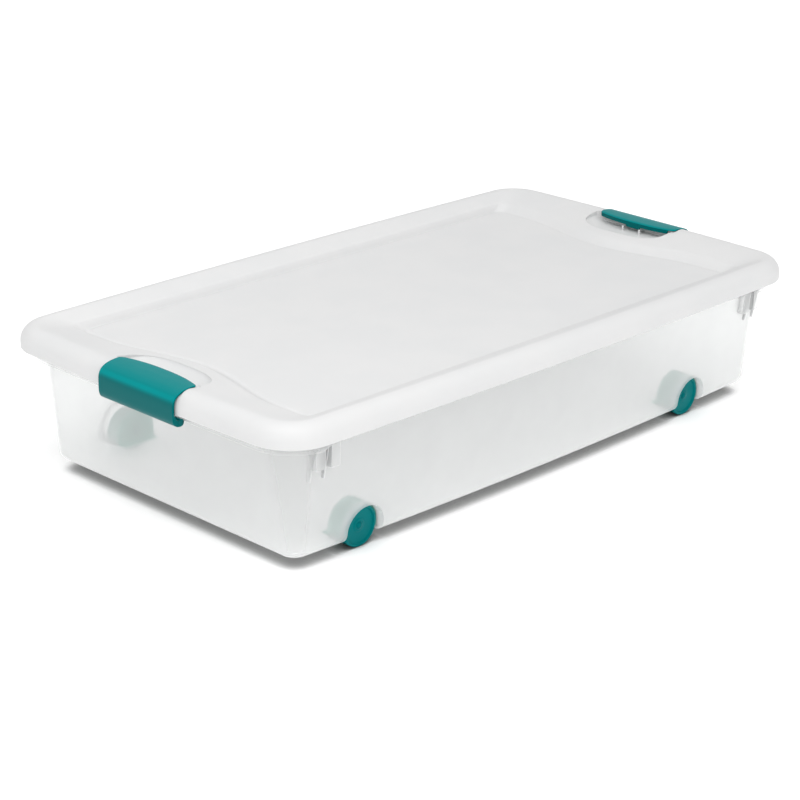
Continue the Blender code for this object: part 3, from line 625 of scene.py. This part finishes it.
def wall_at(z):
    return between(TUB_LOW, TUB_HIGH, z / WALL_TOP)


def tub_outline(z, inset):
    half_x, half_y, radius = wall_at(z)
    return rounded(half_x - inset, half_y - inset, radius - inset, 0, TUB_BOW)


def wall_y(x, z):
    """Half width of the tub's outer face at x and z."""
    a, b, r = wall_at(z)
    over = abs(x) - (a - r)
    y = b - r + sqrt(r * r - over * over) if over > 0 else b
    return y * (1 + TUB_BOW / b * (1 - (x / a) ** 2))


def tub_skin(depth):
    """Rings from the floor to the wall's top, at a depth below the outer face."""
    floor = rounded(TUB_LOW[0] - 0.05, TUB_LOW[1] - 0.05, 0.01, 0, TUB_BOW)
    rings = [level(floor, depth)]
    for i in range(9):
        t = 90 * i / 8
        inset = TUB_EDGE * (1 - sin(radians(t))) + depth
        z = TUB_EDGE * (1 - cos(radians(t))) + depth * (1 - t / 90)
        rings.append(level(tub_outline(z, inset), z))
    return rings + [level(tub_outline(z, depth), z) for z in (0.03, 0.06, 0.09, 0.12, WALL_TOP)]


def tub_face(depth, inward):
    """One face of the tub; inward is the sign of the rim's rounding."""
    return tub_skin(depth) + [level(tub_outline(WALL_TOP, depth + inward * inset - RIM_STEP), z)
                              for inset, z in RIM]


def rib(side, side_y, rib_x, width, low_z, tapers):
    top_z = (FLANGE_Z0 + FLANGE_Z1) / 2

    def section(x):
        low, top = wall_y(x, low_z), wall_y(x, top_z)
        low_out = low + RIB_OUT_TAPER if tapers else top + RIB_OUT_LOW
        corners = ((low - TUB_T / 2, low_z), (low_out, low_z), (top + RIB_OUT_TOP, top_z),
                   (top - TUB_T / 2, top_z))
        return [(x, side_y * y, z + LIFT) for y, z in corners]

    return prism(section(side * rib_x - width / 2), section(side * rib_x + width / 2))


def flange():
    """Rim flange with its down-turned lip."""
    a, _, r = wall_at(FLANGE_Z0)
    root, out_top, out_ease, out, low_out, low_in, lip_in = (
        tub_outline(FLANGE_Z0, -grow) for grow in (
            -TUB_T / 2, FLANGE_OUT - 0.0008, FLANGE_OUT - 0.0002, FLANGE_OUT,
            FLANGE_OUT - 0.0004, FLANGE_OUT - FLANGE_LIP_T + 0.0004, FLANGE_OUT - FLANGE_LIP_T))
    sections = []
    for i in range(len(out)):
        at_end = smooth(abs(out[i][0]) - (a - r), -0.012, 0.004)
        low = LIP_SIDE_Z + (LIP_END_Z - LIP_SIDE_Z) * at_end
        profile = ((root, FLANGE_Z1), (out_top, FLANGE_Z1), (out_ease, FLANGE_Z1 - 0.0002),
                   (out, FLANGE_Z1 - 0.0008), (out, low + 0.0005), (low_out, low), (low_in, low),
                   (lip_in, low + 0.0005), (lip_in, FLANGE_Z0), (root, FLANGE_Z0))
        sections.append([(*ring[i], z + LIFT) for ring, z in profile])
    return skin(sections, loop=True)


def lug(side, y):
    root_x = wall_at(FLANGE_Z0)[0] + FLANGE_OUT - 0.0012
    outline = [(root_x, PIVOT_Z + 0.0048), (root_x, PIVOT_Z - 0.0012)]
    outline += arc(PIVOT_X, PIVOT_Z, LUG_R, -100, 80, 9)
    return extrude_y(outline, y - LUG_T / 2, y + LUG_T / 2, side)


def dip(side):
    """Cutter that lowers the wall behind a lid pocket, with eased corners."""
    yc = DIP_HALF - DIP_R
    outline = [(DIP_HALF, DIP_TOP), (-DIP_HALF, DIP_TOP)]
    outline += arc(-yc, DIP_Z, DIP_R, 180, 270, 6) + arc(yc, DIP_Z, DIP_R, 270, 360, 6)
    return prism(*([(x, y, z + LIFT) for y, z in outline] for x in span(side, DIP_X0, DIP_X1)))


def wells(radius, low_z, y_in, y_out):
    """Arched solids at the four wheels."""
    return joined([extrude_y(arc(x, AXLE_Z, radius, 0, 180, ARCH_STEPS)
                             + [(x - radius, low_z), (x + radius, low_z)], *span(sy, y_in, y_out))
                   for x in WHEEL_X for sy in RIGHT_LEFT])


def pin_cuts():
    """Pin hole and arched slot through each cheek."""
    cuts = []
    for x in WHEEL_X:
        slot = arc(x, AXLE_Z, SLOT_R1, 0, 180, SLOT_STEPS)
        slot += [(x - SLOT_R1, SLOT_LOW), (x - SLOT_R0, SLOT_LOW)]
        slot += arc(x, AXLE_Z, SLOT_R0, 180, 0, SLOT_STEPS)
        slot += [(x + SLOT_R0, SLOT_LOW), (x + SLOT_R1, SLOT_LOW)]
        for sy in RIGHT_LEFT:
            ys = span(sy, CHEEK_Y0 - 0.004, CHEEK_Y1 + 0.004)
            cuts += [rod_y(x, AXLE_Z, *ys, PIN_BORE), extrude_y(slot, *ys)]
    return joined(cuts)


def build_tub():
    tub = skin(tub_face(0.0, 1) + list(reversed(tub_face(TUB_T, -1))))
    boolean(tub, "UNION", joined([rib(side, sy, *row) for side in FRONT_REAR
                                  for sy in RIGHT_LEFT for row in RIBS]))
    boolean(tub, "UNION", flange())
    boolean(tub, "UNION", joined([lug(side, LATCH_Y[side] + y)
                                  for side in FRONT_REAR for y in LUG_Y]))
    boolean(tub, "UNION", joined([rod_y(side * PIVOT_X, PIVOT_Z, LATCH_Y[side] - BAR_HALF,
                                        LATCH_Y[side] + BAR_HALF, BAR_R) for side in FRONT_REAR]))
    boolean(tub, "DIFFERENCE", joined([dip(side) for side in FRONT_REAR]))
    # Well housings are trimmed to the tub's mid surface, joined on, then hollowed.
    volume = skin(tub_skin(TUB_T / 2))
    housings = wells(ARCH_R + ARCH_WALL, TUB_T * 0.45, CHEEK_Y0, 0.2300)
    boolean(housings, "INTERSECT", volume)
    boolean(housings, "DIFFERENCE", pin_cuts())
    boolean(tub, "UNION", housings)
    boolean(tub, "DIFFERENCE", wells(ARCH_R, -0.0200, CHEEK_Y1, 0.2400))
    finish(tub, "tub_shell", TUB_LOOK, "tub", "tub")


build_tub()

# ------------------------------------------------------------------ latches
BORE_R, BARREL_R, NOTCH_R = 0.00235, 0.0043, 0.0056
RIM_LOW, TAB_LOW = 0.1616, 0.1590    # lower edge of the lip's rim, and of its middle tab
LIP_WALL, END_EASE = 0.0019, 0.0009
# Outer and inner faces: x, z
OUTER = spline([(0.4431, 0.1340), (0.4436, 0.1370), (0.4438, 0.1430), (0.4437, 0.1500),
                (0.4430, 0.1551), (0.4414, 0.1592), (0.4385, 0.1626), (0.4345, 0.1649),
                (0.4302, 0.1664), (0.4255, 0.1673), (0.4215, 0.1678)], 3)
INNER = spline([(0.4216, 0.1657), (0.4293, 0.1643), (0.4332, 0.1629), (0.4369, 0.1609),
                (0.4396, 0.1579), (0.4410, 0.1544), (0.4416, 0.1500), (0.4417, 0.1440)], 3)
# Distances of the sections nearest each end
END_STATIONS = (0.0, 0.00008, 0.0002, 0.0004, 0.0006, 0.0009, 0.0013, 0.0018, 0.0024, 0.0032,
                0.0042, 0.0050)


def latch_ring(y, side):
    """Closed outline at y: curl, outer face, flat lip with a turned-down rim, inner face."""
    dy = abs(y - LATCH_Y[side])
    to_end = LATCH_HALF - dy
    ease = END_EASE
    soft = 0.0 if to_end > ease else ease - sqrt(max(0.0, ease * ease - (ease - to_end) ** 2))
    ring = arc(PIVOT_X, PIVOT_Z, BARREL_R - soft * 0.5, 165, 270, 7)
    ring += [(0.4352, 0.12705 + soft * 0.6), (0.4380, 0.1277 + soft * 0.6),
             (0.4404 - soft * 0.4, 0.1292 + soft * 0.5), (0.4421 - soft * 0.7, 0.1314)]
    for x, z in OUTER:
        w = min(max((z - 0.1500) / 0.0170, 0.0), 1.0)
        ring.append((x - soft * (1 - w), z - soft * w))
    # The lip's edge arches in plan and rounds off at the ends.
    edge = 0.4012 + 0.0083 * (dy / LATCH_HALF) ** 2.5 + max(0.0, 0.0050 - to_end) ** 2 * 90.0
    # The rim is full inside the pocket and none where the latch runs past the pocket's end.
    into = smooth(POCKET_HALF - abs(y - POCKET_Y[side]), 0.0040, 0.0068)
    into *= smooth(to_end, 0.0002, 0.0022)
    low = 0.1662 + (RIM_LOW - 0.1662) * into
    low += (TAB_LOW - RIM_LOW) * smooth(TAB_HALF + 0.0006 - dy, 0.0, 0.0012)
    top_x = edge + 0.0034
    ring += [(0.4188 + (top_x - 0.4188) * f, 0.16805 + 0.00015 * sin(pi * f) - soft * 0.9)
             for f in (0.0, 0.25, 0.5, 0.75)]
    ring += [(top_x, 0.1681 - soft * 0.9), (edge + 0.0022, 0.1679 - soft * 0.9),
             (edge + 0.0009, 0.1674 - soft * 0.7), (edge + 0.0002, 0.1667 - soft * 0.4),
             (edge, 0.1667 + (low + 0.0004 - 0.1667) * 0.5), (edge, low + 0.0004),
             (edge + 0.0003, low)]
    back = edge + LIP_WALL
    under_x = back + 0.0014
    ring += [(back - 0.0003, low), (back, low + 0.0003),
             (back + 0.0001, low + (0.1662 - low) * 0.6 + 0.0001),
             (back + 0.0005, 0.1658 + (1 - into) * 0.0003),
             (under_x, 0.1660 + (1 - into) * 0.0002)]
    ring += [(under_x + (0.4188 - under_x) * f, 0.1662 - 0.0002 * f) for f in (0.34, 0.67, 1.0)]
    ring += INNER + [(0.4416, 0.1412), (0.4401, 0.1388), (0.4391, 0.1366), (0.4378, 0.1350)]
    ring += arc(PIVOT_X, PIVOT_Z, BARREL_R, 50, 146, 8)
    return [(side * x, y, z + LIFT) for x, z in ring]


def latch_stations(side):
    """Section places in y, crowded at the ends, the tab's ends and the pocket's ends."""
    yc = LATCH_Y[side]
    y0, y1 = yc - LATCH_HALF, yc + LATCH_HALF
    marks = [y0 + d for d in END_STATIONS] + [y1 - d for d in END_STATIONS]
    marks += [y0 + 0.0070 + (y1 - y0 - 0.0140) * i / 34 for i in range(35)]
    for sy in RIGHT_LEFT:
        marks += [yc + sy * (TAB_HALF + 0.0008 - 0.0002 * i) for i in range(9)]
        marks += [POCKET_Y[side] + sy * (POCKET_HALF - 0.0038 - 0.0004 * i) for i in range(9)]
    stations = []
    for y in sorted(m for m in marks if y0 <= m <= y1):
        if not stations or y - stations[-1] > 0.00006:
            stations.append(y)
    return stations


def build_latch(name, side):
    yc = LATCH_Y[side]
    latch = skin([latch_ring(y, side) for y in latch_stations(side)])
    x, z = side * PIVOT_X, PIVOT_Z
    boolean(latch, "DIFFERENCE", rod_y(x, z, yc - 0.0564, yc + 0.0564, BORE_R))
    # The barrel is open towards the tub, and notched round the lugs.
    x0, x1 = span(side, PIVOT_X - 0.0070, PIVOT_X - 0.0008)
    z0, z1 = PIVOT_Z - 0.0010, PIVOT_Z + 0.0021
    boolean(latch, "DIFFERENCE", extrude_y([(x0, z0), (x1, z0), (x1, z1), (x0, z1)],
                                           yc - 0.0562, yc + 0.0562))
    boolean(latch, "DIFFERENCE", joined([
        rod_y(x, z, yc + y - LUG_T / 2 - 0.0008, yc + y + LUG_T / 2 + 0.0008, NOTCH_R)
        for y in LUG_Y]))
    finish(latch, name + "_shell", LATCH_LOOK, name, name)


build_latch("latch_front", -1)
build_latch("latch_rear", 1)

# ------------------------------------------------------------------ wheels and pins
FACE_Y, WHEEL_W, PIN_R, TYRE_EASE = 0.1990, 0.0185, 0.0030, 0.0014
BACK_Y = FACE_Y - WHEEL_W
GROOVE_Y = BACK_Y + 0.0117
# Wheel's outer face from the bore to the tread: radius, depth below FACE_Y
WHEEL_FACE = (
    (PIN_BORE, 0.0016), (PIN_BORE + 0.0003, 0.0013), (0.0066, 0.0013), (0.0072, 0.0015),
    (0.0077, 0.0020), (0.0081, 0.0022), (0.0090, 0.0023), (0.0200, 0.0023), (0.0207, 0.0021),
    (0.0212, 0.0015), (0.0215, 0.0008), (0.0218, 0.0003), (0.0224, 0.0))
# Groove round the tread: depth, distance from the groove's middle
GROOVE = ((0.0, 0.0018), (0.0003, 0.0015), (0.0012, 0.0012), (0.0015, 0.0008))
# Wheel's inner face from the tread to the bore: radius, distance out from BACK_Y
WHEEL_BACK = ((0.0215, 0.0002), (0.0210, 0.0010), (0.0205, 0.0016), (0.0085, 0.0016),
              (0.0080, 0.0010), (0.0076, -0.0003), (PIN_BORE, -0.0003))
# Pin's head: radius, distance out from FACE_Y
PIN_HEAD = ((0.0, 0.0010), (0.0012, 0.0009), (0.0022, 0.0006), (0.0031, 0.0001),
            (0.0038, -0.0003), (0.0043, -0.0007), (0.0045, -0.0011), (0.0044, -0.0012),
            (PIN_R, -0.0012))
# Pin's inner end: radius, distance in from CHEEK_Y0
PIN_END = ((PIN_R, 0.0003), (0.0040, 0.0004), (0.0041, 0.0006), (0.0041, 0.0012),
           (0.0033, 0.0023), (0.0024, 0.0033), (0.0020, 0.0034), (0.0, 0.0034))

WHEEL_PROFILE = [(r, FACE_Y - d) for r, d in WHEEL_FACE]
WHEEL_PROFILE += arc(WHEEL_R - TYRE_EASE, FACE_Y - TYRE_EASE, TYRE_EASE, 90, 0, 6)
WHEEL_PROFILE += [(WHEEL_R - d, GROOVE_Y + y) for d, y in GROOVE]
WHEEL_PROFILE += [(WHEEL_R - d, GROOVE_Y - y) for d, y in reversed(GROOVE)]
WHEEL_PROFILE += arc(WHEEL_R - TYRE_EASE, BACK_Y + 0.0016, TYRE_EASE, 0, -90, 6)
WHEEL_PROFILE += [(r, BACK_Y + d) for r, d in WHEEL_BACK]
PIN_PROFILE = [(r, FACE_Y + d) for r, d in PIN_HEAD] + [(r, CHEEK_Y0 - d) for r, d in PIN_END]


def lathe(profile, x, side_y, steps):
    """Closed profile of (radius, distance from the middle plane) turned about the wheel axis."""
    return skin([[(x + r * u, side_y * y, AXLE_Z + LIFT + r * v) for r, y in profile]
                 for u, v in arc(0, 0, 1, 0, 360, steps)[:-1]], loop=True)


for axle_x, end in zip(WHEEL_X, ("front", "rear")):
    for side_y, side_name in zip(RIGHT_LEFT, ("right", "left")):
        tag = f"{end}_{side_name}"
        wheel = "wheel_" + tag
        finish(lathe(WHEEL_PROFILE, axle_x, side_y, 96), wheel + "_body", WHEEL_LOOK,
               wheel, wheel)
        finish(lathe(PIN_PROFILE, axle_x, side_y, 48), f"pin_{tag}_body", PIN_LOOK,
               "tub", "axle_pin_" + tag)

# ------------------------------------------------------------------ floor and light
FLOOR_HALF = 30.0
floor = mesh_object("floor", [(x * FLOOR_HALF, y * FLOOR_HALF, 0)
                              for x, y in ((-1, -1), (1, -1), (1, 1), (-1, 1))], [(0, 1, 2, 3)])
floor.data.materials.append(floor_material("floor_white", (0.96, 0.96, 0.96)))

world = bpy.data.worlds.new("studio")
bpy.context.scene.world = world
world.use_nodes = True
background = world.node_tree.nodes["Background"]
background.inputs["Color"].default_value = (1.0, 1.0, 1.0, 1.0)
background.inputs["Strength"].default_value = 0.61


def outward(azimuth, elevation):
    """Direction from the box to a lamp or camera; azimuth 0 is -Y and 90 is +X, in degrees."""
    az, el = radians(azimuth), radians(elevation)
    return Vector((sin(az) * cos(el), -cos(az) * cos(el), sin(el)))


def add_light(name, kind, energy, aim, **props):
    lamp = bpy.data.lights.new(name, kind)
    lamp.energy = energy
    for key, value in props.items():
        setattr(lamp, key, value)
    ob = bpy.data.objects.new(name, lamp)
    scene_col.objects.link(ob)
    ob.rotation_euler = aim.to_track_quat("-Z", "Y").to_euler()
    return ob


# Very wide suns act as an even bank of soft boxes.
add_light("overhead", "SUN", energy=0.45, aim=-outward(130.0, 80.0), angle=radians(80.0))
add_light("front", "SUN", energy=0.80, aim=-outward(-22.0, 42.0), angle=radians(70.0))
key_light = add_light("key", "AREA", energy=7.0, aim=Vector((0.50, 0.25, -1.40)),
                      shape="DISK", size=1.2)
key_light.location = (-0.72, -0.35, 1.50)

# ------------------------------------------------------------------ camera
AZIMUTH, ELEVATION, ROLL = -46.037, 21.0478, radians(0.8861)
TARGET, DISTANCE = Vector((-0.1213, -0.0882, 0.08 + LIFT)), 2.6359

back = outward(AZIMUTH, ELEVATION)
level_right = Vector((cos(radians(AZIMUTH)), sin(radians(AZIMUTH)), 0.0))
level_up = back.cross(level_right)
right = level_right * cos(ROLL) + level_up * sin(ROLL)
up = level_up * cos(ROLL) - level_right * sin(ROLL)
camera_data = bpy.data.cameras.new("camera")
camera_data.sensor_width = 36.0
camera_data.sensor_fit = "HORIZONTAL"
camera_data.lens = 103.410747
camera_data.clip_start = 0.05
camera_data.clip_end = 100.0
camera = bpy.data.objects.new("camera", camera_data)
scene_col.objects.link(camera)
place = TARGET + back * DISTANCE
camera.matrix_world = Matrix([*((right[i], up[i], back[i], place[i]) for i in range(3)),
                              (0, 0, 0, 1)])
bpy.context.scene.camera = camera

bpy.context.scene.view_settings.view_transform = "Standard"
bpy.context.scene.view_settings.look = "None"
